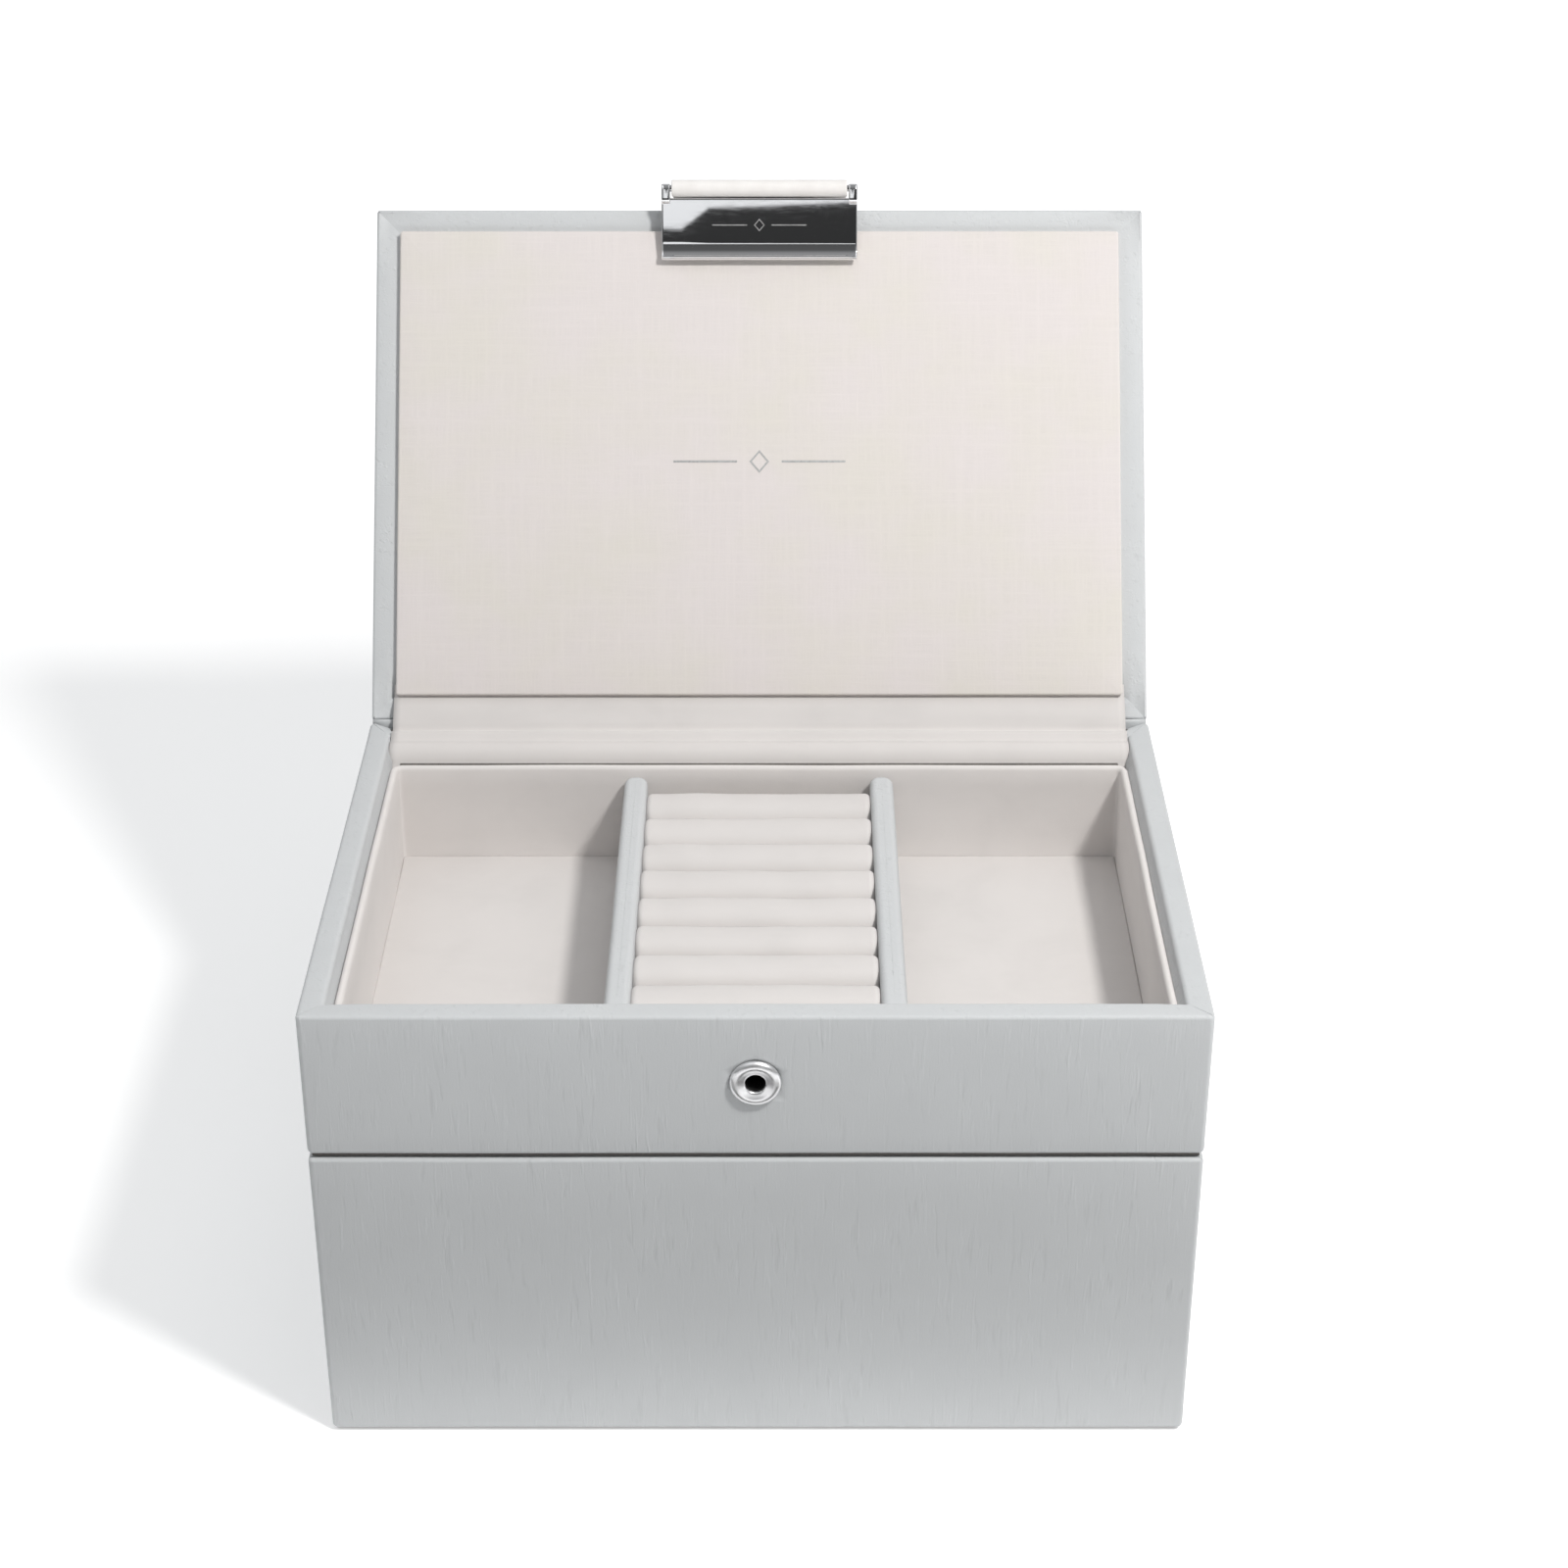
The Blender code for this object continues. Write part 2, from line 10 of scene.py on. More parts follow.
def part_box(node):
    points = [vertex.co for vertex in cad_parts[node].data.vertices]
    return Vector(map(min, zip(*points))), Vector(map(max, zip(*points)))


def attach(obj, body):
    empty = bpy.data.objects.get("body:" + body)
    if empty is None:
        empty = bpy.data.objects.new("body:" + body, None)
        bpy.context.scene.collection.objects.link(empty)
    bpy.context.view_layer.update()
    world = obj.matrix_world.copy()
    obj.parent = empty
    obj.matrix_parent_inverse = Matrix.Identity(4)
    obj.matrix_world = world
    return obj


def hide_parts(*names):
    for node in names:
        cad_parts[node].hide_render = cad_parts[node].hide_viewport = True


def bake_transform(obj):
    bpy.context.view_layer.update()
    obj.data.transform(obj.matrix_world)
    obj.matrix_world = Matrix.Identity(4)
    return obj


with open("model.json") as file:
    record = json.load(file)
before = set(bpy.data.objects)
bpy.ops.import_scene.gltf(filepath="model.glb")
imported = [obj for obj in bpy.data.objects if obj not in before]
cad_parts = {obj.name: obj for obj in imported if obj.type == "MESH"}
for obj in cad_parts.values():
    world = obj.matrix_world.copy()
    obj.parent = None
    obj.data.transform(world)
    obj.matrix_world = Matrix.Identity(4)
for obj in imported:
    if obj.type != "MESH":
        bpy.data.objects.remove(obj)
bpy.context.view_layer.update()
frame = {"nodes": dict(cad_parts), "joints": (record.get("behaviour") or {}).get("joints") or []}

MM = 0.001
RIGHT_ANGLE = math.pi / 2

# Places read from the frame -------------------------------------------------
JOINTS = {joint["name"]: joint for joint in frame["joints"]}
HINGE = Vector(JOINTS["lid_hinge"]["pos_m"])
SLOT = Vector(JOINTS["clasp_press"]["pos_m"])
BAR = Vector(JOINTS["clasp_fold"]["pos_m"])
LID_OPEN = math.radians(JOINTS["lid_hinge"]["range_deg"][1])

LOW_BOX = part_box("lower_wrap")
TOP_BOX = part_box("upper_wrap")
LINER_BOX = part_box("upper_liner")
HALF_X = TOP_BOX[1].x
REAR_Y = TOP_BOX[1].y
FRONT_Y = TOP_BOX[0].y
RIM_Z = TOP_BOX[1].z

# Sizes of what this script shapes, as in the CAD part -------------------------
RIM = 5.3 * MM
HEM = 14 * MM
SKIN = 0.55 * MM
SEAM_EASE = 0.5 * MM         # the top tray's covering stops short of the seam
CORNER_R = 1.1 * MM
LID_CORNER_R = 0.8 * MM
RIM_OUTER_R = 0.85 * MM
REAR_REACH = 0.5 * MM         # the covering's rear corners stand out to the hinge
RIM_INNER_R = 1.1 * MM
LINER = 1.7 * MM
LINER_FLOOR = 1.0 * MM
LID_GAP = 0.5 * MM
LID_INSET = 0.2 * MM
LID_THICK = 12 * MM
LID_Z = RIM_Z + LID_GAP
LINING = 0.5 * MM
LINING_X = 84.6 * MM
SPINE_X = 89.5 * MM
STRAP_X = 20.4 * MM
STRAP = 0.9 * MM
BAR_R = 0.8 * MM
LOOP_CLEARANCE = 0.25 * MM
PLATE_X = 22.8 * MM
PLATE = 1.2 * MM
PLATE_TOP = 2.3 * MM
PLATE_FACE = 12.0 * MM
PLATE_SET_BACK = 0.2 * MM
LIP_R = 2.6 * MM
LIP_TURN = 50
EAR = 2.0 * MM
EAR_RISE = 1.0 * MM
PLATE_REST = math.radians(98)

# From the closed lid to the open one, and from the hanging plate to its rest
LID_TURN = (Matrix.Translation(HINGE) @ Matrix.Rotation(-LID_OPEN, 4, "X") @ Matrix.Translation(-HINGE))
PLATE_TURN = Matrix.Translation(BAR) @ Matrix.Rotation(PLATE_REST - LID_OPEN, 4, "X")


# Camera, lights and floor -----------------------------------------------------
CAMERA_PLACE = Vector((5.4, -537.2, 429.0)) * MM
CAMERA_PITCH = math.radians(27.7)
CAMERA_LENS = 67.37
CAMERA_SHIFT_Y = -0.0625
KEY = 0.67                    # light on a face square to it, where 1 makes white paper white
KEY_SIZE = 0.11
KEY_PLACE = Vector((0.36, -0.36, 0.80))
KEY_AIM = Vector((0, 0, 0.09))
SKY = (0.10, 1.22)            # light from the horizon, and from overhead
FLAG_X = 0.26                 # half width of the dark flag, as a direction
FLAG_Z = (0.13, 0.4931)       # its foot, and its top where the slant begins
FLAG_BEND = -0.0248
FLAG_SLOPES = (0.035, 0.68)   # of its top edge, right and left of that place
FLAG_LOW = 0.4868             # where the slant on the left ends
FLAG_DARK = 0.04
CARD_X = 0.10                 # half width of the white card above the flag, and the grey strip over it
CARD_Z = 0.4972
CARD_LIGHT = (2.5, 0.24)


def make_camera():
    camera = bpy.data.objects.new("camera", bpy.data.cameras.new("camera"))
    camera.data.lens = CAMERA_LENS
    camera.data.sensor_width = 36.0
    camera.data.shift_y = CAMERA_SHIFT_Y
    camera.data.clip_start = 0.02
    camera.location = CAMERA_PLACE
    camera.rotation_euler = (RIGHT_ANGLE - CAMERA_PITCH, 0, math.radians(-0.03))
    bpy.context.scene.collection.objects.link(camera)
    bpy.context.scene.camera = camera


def make_key():
    """The key light, a small softbox high on the right and a little to the front."""
    light = bpy.data.lights.new("key", "AREA")
    light.shape = "DISK"
    light.size = KEY_SIZE
    throw = KEY_PLACE - KEY_AIM
    light.energy = KEY * (math.pi * throw.length) ** 2
    light.color = (1.0, 0.985, 0.965)
    lamp = bpy.data.objects.new("key", light)
    lamp.location = KEY_PLACE
    lamp.rotation_euler = throw.to_track_quat("Z", "Y").to_euler()
    bpy.context.scene.collection.objects.link(lamp)


def make_world():
    """A studio that is brightest overhead, with one dark flag in front of the case."""
    world = bpy.data.worlds.new("studio")
    world.use_nodes = True
    sky = Nodes(world.node_tree)
    split = sky.add("ShaderNodeSeparateXYZ", {0: sky.add("ShaderNodeTexCoord").outputs["Generated"]})
    x, y, z = split.outputs
    light = sky.range(sky.math("MULTIPLY", z, z), 0.0, 1.0, *SKY)
    along = sky.math("SUBTRACT", x, FLAG_BEND)
    slants = [sky.math("MULTIPLY", along, slope) for slope in FLAG_SLOPES]
    top = sky.math("MAXIMUM", sky.math("ADD", sky.math("MINIMUM", *slants), FLAG_Z[1]), FLAG_LOW)
    above_top = sky.range(sky.math("SUBTRACT", z, top), -0.0004, 0.0004, 0.0, 1.0)
    below_foot = sky.range(z, FLAG_Z[0] - 0.05, FLAG_Z[0], 1.0, 0.0)
    beside = sky.range(sky.math("ABSOLUTE", x), FLAG_X, FLAG_X + 0.04, 0.0, 1.0)
    behind = sky.range(y, -0.1, 0.1, 0.0, 1.0)
    clear = sky.math("MAXIMUM", sky.math("MAXIMUM", above_top, below_foot), sky.math("MAXIMUM", beside, behind))
    card = sky.range(z, CARD_Z, CARD_Z + 0.001, *CARD_LIGHT)
    outside = sky.range(sky.math("ABSOLUTE", x), CARD_X, CARD_X + 0.03, 0.0, 1.0)
    over = sky.range(y, 0.5, 0.6, 0.0, 1.0)
    level = sky.mix(sky.math("MAXIMUM", outside, over), card, 1.0)
    background = world.node_tree.nodes["Background"]
    background.inputs["Color"].default_value = (0.97, 0.985, 1.0, 1.0)
    dimmed = sky.math("MULTIPLY", sky.math("MAXIMUM", clear, FLAG_DARK), level)
    shown = sky.math("MULTIPLY", light, dimmed)
    world.node_tree.links.new(shown, background.inputs["Strength"])
    bpy.context.scene.world = world
    bpy.context.scene.view_settings.view_transform = "Standard"


def make_floor():
    floor = grid_object("floor", [[Vector((x, y, 0)) for x in (-20, -1, 1, 20)] for y in (-20, -1, 1, 20)])
    tint = Paint("floor_paint", (0.86, 0.86, 0.86), 0.9, Emission_Color=(1.0, 1.0, 1.0, 1.0))
    # The floor glows by itself, more with distance from the case: painted light that pales the case's shadow on the
    # floor and whitens the far floor.
    away = tint.add("ShaderNodeVectorMath", {0: tint.coordinates((1, 1, 1))}, operation="LENGTH").outputs["Value"]
    painted_floor_glow = tint.range(away, 0.35, 0.9, 0.34, 0.66)
    tint.tree.links.new(painted_floor_glow, tint.shader.inputs["Emission Strength"])
    soft = tint.noise(tint.coordinates((3, 3, 3)), 1.0, 2.0)
    tint.colour(tint.ramp(soft, [(0.3, 0.85), (0.7, 0.88)]))
    floor.data.materials.append(tint.material)
    black = grid_object("black_card", [[Vector((x, y, 2 * MM)) for x in (-0.5, 0.16)] for y in (-0.20, -0.10)])
    black.data.materials.append(Paint("black_card", (0.01, 0.01, 0.01), 0.9).material)
    black.visible_camera = False
    black.visible_shadow = False


# Node materials ---------------------------------------------------------------
class Nodes:
    """Helpers that add nodes to a tree. A value may be a number or another node's socket."""

    def __init__(self, tree):
        self.tree = tree

    def add(self, kind, values=(), **settings):
        made = self.tree.nodes.new(kind)
        for setting, value in settings.items():
            setattr(made, setting, value)
        for socket, value in dict(values).items():
            if isinstance(value, bpy.types.NodeSocket):
                self.tree.links.new(value, made.inputs[socket])
            else:
                made.inputs[socket].default_value = value
        return made

    def math(self, operation, first, second=0.0):
        return self.add("ShaderNodeMath", {0: first, 1: second}, operation=operation).outputs[0]

    def mix(self, amount, first, second):
        """Mix two numbers by an amount."""
        return self.add("ShaderNodeMix", {"Factor": amount, "A": first, "B": second}).outputs["Result"]

    def range(self, amount, low, high, to_low, to_high):
        made = self.add("ShaderNodeMapRange", {"Value": amount, "From Min": low, "From Max": high,
                                               "To Min": to_low, "To Max": to_high})
        return made.outputs["Result"]

    def ramp(self, amount, stops):
        """A colour for a number, from (place, colour) pairs. A plain number is a grey."""
        made = self.add("ShaderNodeValToRGB", {"Fac": amount})
        ends = made.color_ramp.elements
        while len(ends) < len(stops):
            ends.new(0.5)
        for end, (place, colour) in zip(ends, stops):
            end.position = place
            end.color = (*colour, 1.0) if hasattr(colour, "__len__") else (colour, colour, colour, 1.0)
        return made.outputs["Color"]

    def multiply(self, first, second):
        """Multiply two colours."""
        made = self.add("ShaderNodeMix", {0: 1.0, 6: first, 7: second}, data_type="RGBA",
                        blend_type="MULTIPLY")
        return made.outputs[2]

    def coordinates(self, scale, turn=0.0):
        """Object coordinates in metres, turned about X and then scaled."""
        place = self.add("ShaderNodeTexCoord").outputs["Object"]
        if turn:
            place = self.add("ShaderNodeMapping", {"Vector": place, "Rotation": (turn, 0, 0)}).outputs[0]
        return self.add("ShaderNodeMapping", {"Vector": place, "Scale": scale}).outputs[0]

    def noise(self, place, scale, detail=2.0, roughness=0.5, distortion=0.0):
        made = self.add("ShaderNodeTexNoise", {"Vector": place, "Scale": scale, "Detail": detail,
                                               "Roughness": roughness, "Distortion": distortion})
        return made.outputs["Fac"]

    def cells(self, place, scale, feature="DISTANCE_TO_EDGE"):
        made = self.add("ShaderNodeTexVoronoi", {"Vector": place, "Scale": scale}, feature=feature)
        return made.outputs["Distance"]

    def bump(self, height, distance, strength=1.0, under=None):
        values = {"Height": height, "Distance": distance, "Strength": strength}
        if under:
            values["Normal"] = under
        return self.add("ShaderNodeBump", values).outputs["Normal"]


class Paint(Nodes):
    """A Principled material."""

    def __init__(self, name, colour, roughness, metallic=0.0, **sockets):
        self.material = bpy.data.materials.new(name)
        self.material.use_nodes = True
        super().__init__(self.material.node_tree)
        self.shader = self.tree.nodes["Principled BSDF"]
        self.shader.inputs["Base Color"].default_value = (*colour, 1.0)
        self.shader.inputs["Roughness"].default_value = roughness
        self.shader.inputs["Metallic"].default_value = metallic
        for socket, value in sockets.items():
            self.shader.inputs[socket.replace("_", " ")].default_value = value

    def colour(self, socket):
        self.tree.links.new(socket, self.shader.inputs["Base Color"])

    def rough(self, socket):
        self.tree.links.new(socket, self.shader.inputs["Roughness"])

    def normal(self, socket):
        self.tree.links.new(socket, self.shader.inputs["Normal"])


def shade(colour, factor):
    return tuple(channel * factor for channel in colour)


LEATHERETTE = (0.568, 0.583, 0.592)
VELVET = (0.655, 0.628, 0.612)
LINEN = (0.700, 0.664, 0.638)


def leatherette(name, turn=0.0):
    """Coated fabric: sparse fine creases that run up and down its walls, over a faint pebble."""
    paint = Paint(name, LEATHERETTE, 0.5, Specular_IOR_Level=0.35)
    creases = paint.noise(paint.coordinates((1.0, 1.0, 0.11), turn), 950, 2.0, 0.55, 0.2)
    valleys = paint.noise(paint.coordinates((1.0, 1.0, 0.13), turn), 720, 2.0, 0.5, 0.3)
    pebbles = paint.cells(paint.coordinates((1.0, 1.0, 0.4), turn), 1500)
    fine = paint.noise(paint.coordinates((1, 1, 0.5), turn), 5200, 2.0)
    patches = paint.noise(paint.coordinates((1, 1, 0.7), turn), 95, 3.0)
    here = paint.range(patches, 0.38, 0.66, 0.25, 1.0)
    ridge = paint.math("MULTIPLY", paint.range(creases, 0.56, 0.76, 0.0, 1.0), here)
    furrow = paint.math("MULTIPLY", paint.range(valleys, 0.58, 0.76, 0.0, 1.0), here)
    depth = paint.math("SUBTRACT", ridge, furrow)
    relief = paint.bump(paint.range(pebbles, 0.0, 0.1, 0.0, 1.0), 0.012 * MM, 0.5)
    relief = paint.bump(fine, 0.012 * MM, 0.5, relief)
    paint.normal(paint.bump(depth, 0.10 * MM, 0.7, relief))
    # The colour is painted darker in the furrows and lighter on the ridges: painted shade and painted highlight on the
    # creases.
    tone = paint.range(depth, -1.0, 1.0, 0.0, 1.0)
    painted_crease_shade = paint.ramp(tone, [(0.0, shade(LEATHERETTE, 0.93)), (0.5, LEATHERETTE), (1.0, shade(LEATHERETTE, 1.05))])
    paint.colour(paint.multiply(painted_crease_shade, paint.ramp(patches, [(0.3, 0.985), (0.7, 1.01)])))
    paint.rough(paint.range(creases, 0.3, 0.7, 0.47, 0.58))
    return paint.material


def velvet(name, colour=VELVET, turn=0.0):
    """Short pile: a soft sheen, brushed patches and a fuzzy fine relief."""
    paint = Paint(name, colour, 0.95, Specular_IOR_Level=0.15, Sheen_Weight=0.12, Sheen_Roughness=0.45)
    brushed = paint.noise(paint.coordinates((1, 1, 1), turn), 55, 3.0, 0.55, 0.4)
    pile = paint.noise(paint.coordinates((1, 1, 1), turn), 3800, 2.0, 0.7)
    streaks = paint.noise(paint.coordinates((0.3, 1, 1), turn), 700, 2.0)
    tone = paint.mix(0.25, brushed, paint.mix(0.5, pile, streaks))
    paint.colour(paint.ramp(tone, [(0.25, shade(colour, 0.955)), (0.5, colour), (0.8, shade(colour, 1.03))]))
    relief = paint.bump(streaks, 0.03 * MM, 0.4)
    paint.normal(paint.bump(pile, 0.05 * MM, 0.55, relief))
    return paint.material


def linen(name, turn):
    """Plain weave with uneven threads in both directions and faint warm and cool patches."""
    paint = Paint(name, LINEN, 0.9, Specular_IOR_Level=0.2, Sheen_Weight=0.12, Sheen_Roughness=0.5)
    across = paint.noise(paint.coordinates((0.07, 1, 0.07), turn), 2300, 2.0, 0.65)
    along = paint.noise(paint.coordinates((1, 0.07, 0.07), turn), 2300, 2.0, 0.65)
    slubs_x = paint.noise(paint.coordinates((0.035, 1, 0.035), turn), 900, 1.0, 0.4)
    slubs_y = paint.noise(paint.coordinates((1, 0.035, 0.035), turn), 900, 1.0, 0.4)
    patches = paint.noise(paint.coordinates((1, 1, 1), turn), 38, 3.0, 0.6)
    threads = paint.math("MAXIMUM", across, along)
    slubs = paint.math("MAXIMUM", slubs_x, slubs_y)
    tone = paint.mix(0.4, threads, slubs)
    tinted = paint.ramp(patches, [(0.35, shade(LINEN, 1.0)[:2] + (LINEN[2] * 0.97,)),
                                    (0.62, (LINEN[0] * 1.015, LINEN[1], LINEN[2] * 1.02))])
    light = paint.ramp(tone, [(0.4, 0.965), (0.62, 1.0), (0.8, 1.025)])
    paint.colour(paint.multiply(tinted, light))
    relief = paint.bump(slubs, 0.05 * MM, 0.6)
    paint.normal(paint.bump(threads, 0.05 * MM, 0.6, relief))
    return paint.material


def chrome(name, smoothest=0.008, roughest=0.028):
    """Polished plating with hairline rubs."""
    paint = Paint(name, (0.86, 0.86, 0.87), 0.07, metallic=1.0)
    rubs = paint.noise(paint.coordinates((0.15, 1, 1)), 1800, 3.0, 0.7)
    paint.rough(paint.range(rubs, 0.3, 0.75, smoothest, roughest))
    paint.normal(paint.bump(rubs, 0.0002 * MM, 0.2))
    return paint.material


def speckled(name, dark, light, roughness):
    """Thin foil or etching with a fine grain."""
    paint = Paint(name, (light, light, light), roughness, metallic=0.5)
    grain = paint.noise(paint.coordinates((1, 1, 1)), 2500, 2.0)
    paint.colour(paint.ramp(grain, [(0.3, dark), (0.7, light)]))
    return paint


def strap_leather(name):
    """Smooth pale leather with pores."""
    paint = Paint(name, (0.81, 0.785, 0.765), 0.55, Specular_IOR_Level=0.35)
    pores = paint.cells(paint.coordinates((1, 1, 1)), 2600, "F1")
    patches = paint.noise(paint.coordinates((1, 1, 1)), 240, 3.0)
    paint.colour(paint.ramp(patches, [(0.3, (0.78, 0.755, 0.735)), (0.7, (0.83, 0.81, 0.79))]))
    paint.normal(paint.bump(pores, 0.04 * MM, 0.5))
    return paint.material


def board(name):
    """Dense pressed board with flecks, its colour painted dark: painted shade for where it shows in the gap at the seam
    between the trays.
    """
    paint = Paint(name, (0.13, 0.12, 0.11), 0.85)
    flecks = paint.noise(paint.coordinates((1, 1, 3)), 1500, 4.0, 0.7)
    paint.colour(paint.ramp(flecks, [(0.3, (0.10, 0.095, 0.09)), (0.7, (0.17, 0.155, 0.14))]))
    paint.normal(paint.bump(flecks, 0.08 * MM, 0.6))
    return paint.material


def foam(name):
    """Open-cell foam, its colour painted darker in the pores as shade."""
    paint = Paint(name, (0.82, 0.80, 0.72), 0.95)
    pores = paint.cells(paint.coordinates((1, 1, 1)), 1600, "F1")
    paint.colour(paint.ramp(pores, [(0.1, (0.70, 0.68, 0.60)), (0.6, (0.84, 0.82, 0.75))]))
    paint.normal(paint.bump(pores, 0.2 * MM, 0.8))
    return paint.material


def felt(name):
    """Pressed fibres."""
    paint = Paint(name, (0.30, 0.31, 0.33), 0.95, Sheen_Weight=0.3)
    fibres = paint.noise(paint.coordinates((1, 1, 1)), 2600, 4.0, 0.75, 1.2)
    paint.colour(paint.ramp(fibres, [(0.3, (0.24, 0.25, 0.27)), (0.7, (0.36, 0.37, 0.39))]))
    paint.normal(paint.bump(fibres, 0.12 * MM, 0.7))
    return paint.material


# Mesh helpers -----------------------------------------------------------------
def wobble(place, size, scale, seed=0.0):
    """A smooth push for a point, up to size each way, that varies over 1/scale metres."""
    return noise.noise_vector(Vector(place) * scale + Vector((seed, seed * 1.7, 0))) * size


def finish_mesh(name, built, smooth_angle=40.0):
    mesh = bpy.data.meshes.new(name)
    bmesh.ops.remove_doubles(built, verts=built.verts, dist=0.002 * MM)
    bmesh.ops.recalc_face_normals(built, faces=built.faces)
    built.to_mesh(mesh)
    built.free()
    mesh.shade_smooth()
    mesh.set_sharp_from_angle(angle=math.radians(smooth_angle))
    made = bpy.data.objects.new(name, mesh)
    bpy.context.scene.collection.objects.link(made)
    return made


def grid_object(name, rows, ring=False, caps=False, smooth_angle=40.0):
    """Quads between rows of points. ring closes each row, and caps fills the first and last one."""
    built = bmesh.new()
    made = [[built.verts.new(point) for point in row] for row in rows]
    count = len(rows[0])
    last = count if ring else count - 1
    for low, high in zip(made, made[1:]):
        for index in range(last):
            after = (index + 1) % count
            built.faces.new((low[index], low[after], high[after], high[index]))
    if caps:
        built.faces.new(made[0])
        built.faces.new(made[-1])
    return finish_mesh(name, built, smooth_angle)


def arc(centre, radius, start, end, steps):
    """Points on an arc, in degrees, from start to end."""
    points = []
    for step in range(steps + 1):
        angle = math.radians(start + (end - start) * step / steps)
        points.append((centre[0] + radius * math.cos(angle), centre[1] + radius * math.sin(angle)))
    return points


CORNER_STEPS = 8


def outline(half_x, half_y, radius, side_steps=(26, 18)):
    """A rounded rectangle about the origin. Equal steps give equal counts, so outlines can be lofted."""
    radius = max(radius, 0.05 * MM)
    corners = ((1, -1, -90), (1, 1, 0), (-1, 1, 90), (-1, -1, 180))
    points = []
    for index, (x_sign, y_sign, start) in enumerate(corners):
        centre = (x_sign * (half_x - radius), y_sign * (half_y - radius))
        turn = arc(centre, radius, start, start + 90, CORNER_STEPS)
        points += turn
        following = corners[(index + 1) % 4]
        goal = (following[0] * (half_x - radius), following[1] * (half_y - radius))
        goal = (goal[0] + radius * math.cos(math.radians(following[2])),
                goal[1] + radius * math.sin(math.radians(following[2])))
        steps = side_steps[index % 2 == 0]
        for step in range(1, steps):
            share = step / steps
            points.append((turn[-1][0] + (goal[0] - turn[-1][0]) * share,
                           turn[-1][1] + (goal[1] - turn[-1][1]) * share))
    return points


def lofted(name, half_x, half_y, centre, corner_r, profile, shape=None, caps=False, smooth_angle=40.0):
    """A band of rounded rectangles. The profile is (inset, z) pairs, and shape may move a point."""
    rows = []
    for inset, z in profile:
        row = []
        for x, y in outline(half_x - inset, half_y - inset, corner_r - inset):
            point = Vector((x + centre[0], y + centre[1], z))
            row.append(shape(point, inset) if shape else point)
        rows.append(row)
    return grid_object(name, rows, ring=True, caps=caps, smooth_angle=smooth_angle)


def thicken(piece, thickness, offset=-1.0):
    solidify = piece.modifiers.new("thickness", "SOLIDIFY")
    solidify.thickness = thickness
    solidify.offset = offset
    solidify.use_even_offset = True
    return piece


def dress(piece, material, body, slot, *nodes):
    """Give a piece its material, attach it to the body it moves with, and hide the CAD nodes it stands in for."""
    piece.data.materials.append(material)
    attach(piece, body)
    if nodes:
        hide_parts(*nodes)
    return piece


# Leatherette wraps ------------------------------------------------------------
def wall_profile(low_z, high_z, bulge):
    """From under the wall's foot, up its outside, over the rim and down the hem inside, which may bulge."""
    foot_r = 1.2 * MM
    profile = [(3.5 * MM, low_z)]
    profile += arc((foot_r, low_z + foot_r), foot_r, 270, 180, 5)
    rise = high_z - RIM_OUTER_R - profile[-1][1]
    start = profile[-1][1]
    profile += [(0, start + rise * step / 8) for step in range(1, 8)]
    profile += arc((RIM_OUTER_R, high_z - RIM_OUTER_R), RIM_OUTER_R, 180, 90, 7)
    profile += arc((RIM - RIM_INNER_R, high_z - RIM_INNER_R), RIM_INNER_R, 90, 0, 6)
    profile += [(RIM + 0.2 * bulge, high_z - 1.7 * MM), (RIM + bulge, high_z - 3.4 * MM),
                (RIM + bulge, high_z - 6 * MM), (RIM, high_z - HEM)]
    return profile


def tray_wrap(name, box, node, body, material, hinge_step=0.0, bulge=0.0):
    low, high = box
    centre = (low + high) / 2

    def shape(point, inset):
        place = point + wobble(point, 0.06 * MM, 28)
        near_rim = point.z > high.z - 1.6 * MM
        corner = min(HALF_X - abs(point.x), REAR_Y - abs(point.y - centre.y))
        mitre = abs((HALF_X - abs(point.x)) - (REAR_Y - abs(point.y - centre.y)))
        if near_rim and mitre < 0.12 * MM and corner > 0.3 * MM:
            place.z -= 0.22 * MM
        if hinge_step and point.y > REAR_Y - RIM - 1 * MM and inset < RIM + 1 * MM:
            if abs(point.x) < 84.25 * MM and point.z > high.z - 7 * MM:
                place.z -= hinge_step
            elif point.z > high.z - 1.2 * MM and point.y > REAR_Y - 1.2 * MM:
                place += Vector((0, REAR_REACH, 0.4 * REAR_REACH))
        return place

    foot_z = low.z + SEAM_EASE if hinge_step else low.z
    wrap = lofted(name, high.x, (high.y - low.y) / 2, (0, centre.y), CORNER_R,
                  wall_profile(foot_z, high.z, bulge), shape)
    thicken(wrap, SKIN)
    return dress(wrap, material, body, "leatherette", node)


def bore(wrap, place, radius):
    """Cut a round hole through a front wall."""
    rows = []
    for y in (-8 * MM, 8 * MM):
        rows.append([place + Vector((radius * math.cos(math.radians(angle)), y, radius * math.sin(math.radians(angle))))
                     for angle in range(0, 360, 10)])
    cutter = grid_object("bore", rows, ring=True, caps=True)
    cut = wrap.modifiers.new("bore", "BOOLEAN")
    cut.operation = "DIFFERENCE"
    cut.solver = "EXACT"
    cut.object = cutter
    bake_modifiers(wrap)
    bpy.data.objects.remove(cutter)


